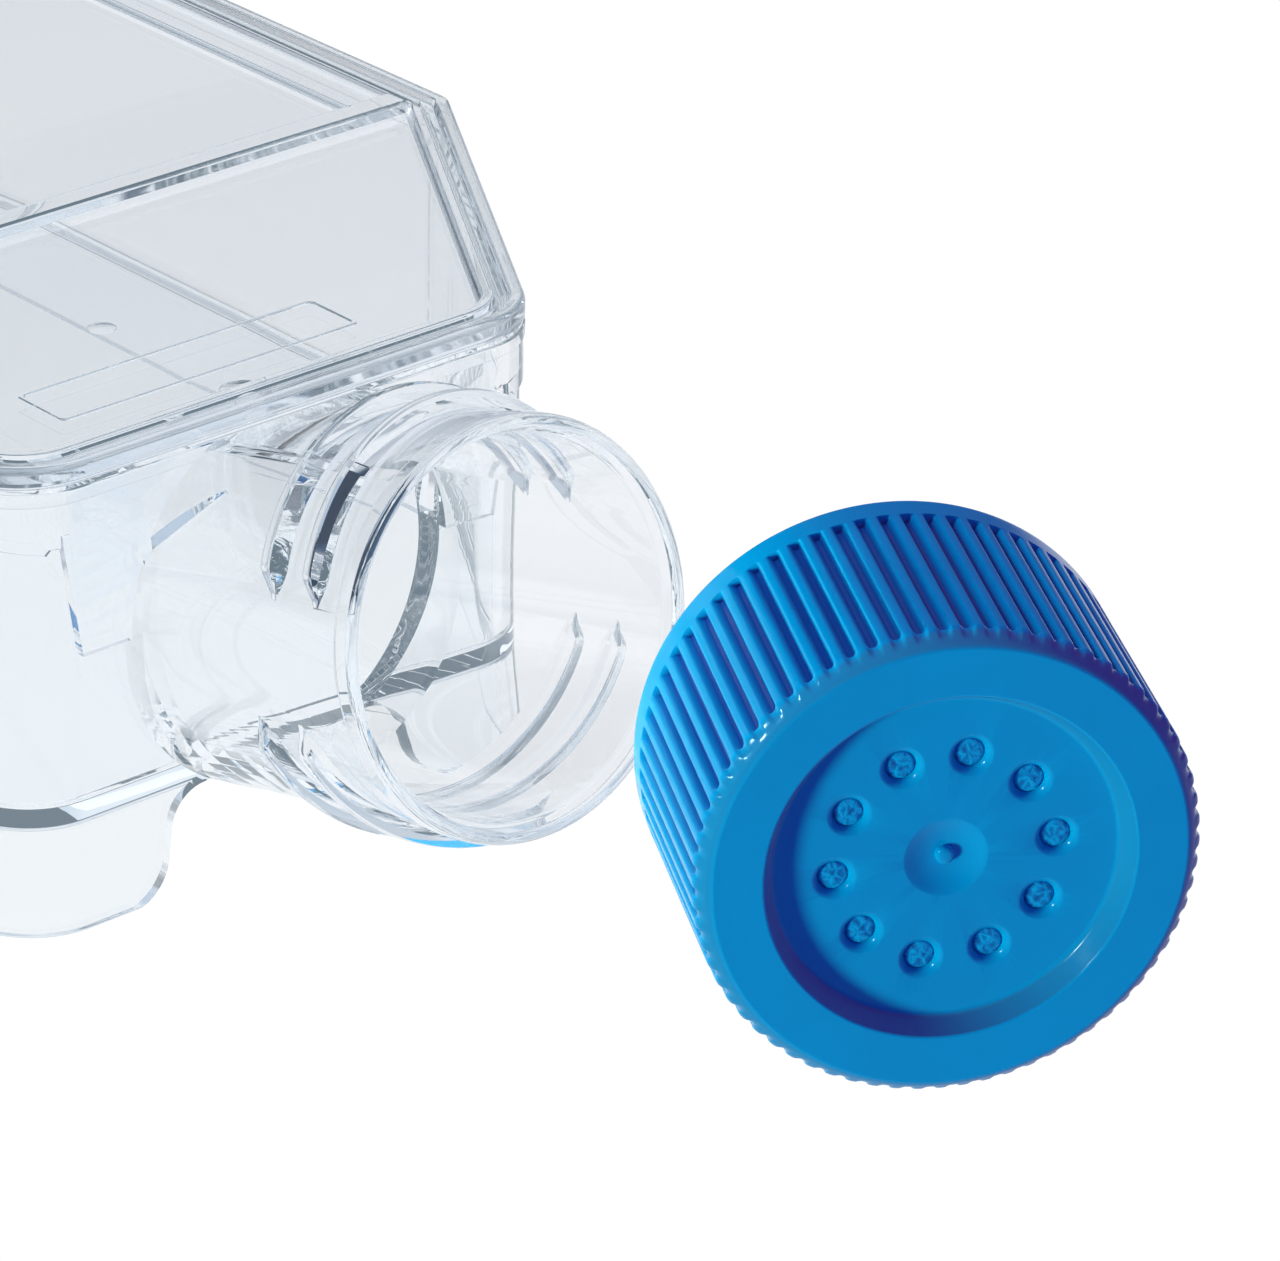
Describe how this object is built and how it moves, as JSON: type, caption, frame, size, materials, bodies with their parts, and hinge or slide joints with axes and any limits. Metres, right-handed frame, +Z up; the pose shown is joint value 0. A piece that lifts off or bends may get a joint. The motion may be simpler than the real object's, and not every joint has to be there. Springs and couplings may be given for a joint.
{
  "type": "cell culture flask",
  "caption": "Flat clear culture flask with slanted shoulders, a canted threaded neck and a skirt below the floor, with its ribbed blue vented screw cap lying beside it.",
  "frame": {"origin": "centre of the footprint of flask and cap together, on the bench surface", "axes": "+X across the flask, to the right seen from the neck end; +Y from the neck towards the rear wall; +Z up from the bench"},
  "size_m": [0.0884, 0.1692, 0.042],
  "materials": {
    "clear_tray": "clear moulded polystyrene, polished",
    "clear_plate": "clear moulded polystyrene, polished, welded to the tray",
    "cap_blue": "bright blue moulded polyethylene, satin",
    "membrane": "white hydrophobic filter membrane"
  },
  "bodies": {
    "flask": {"tray_with_neck": "clear_tray", "top_plate": "clear_plate"},
    "cap": {"cap_shell": "cap_blue", "vent_membrane": "membrane"}
  },
  "joints": [
    {"name": "cap_lift", "type": "slide", "parent": "flask", "child": "cap", "axis": [0, 0, 1], "range_m": [0, 0.12]}
  ]
}
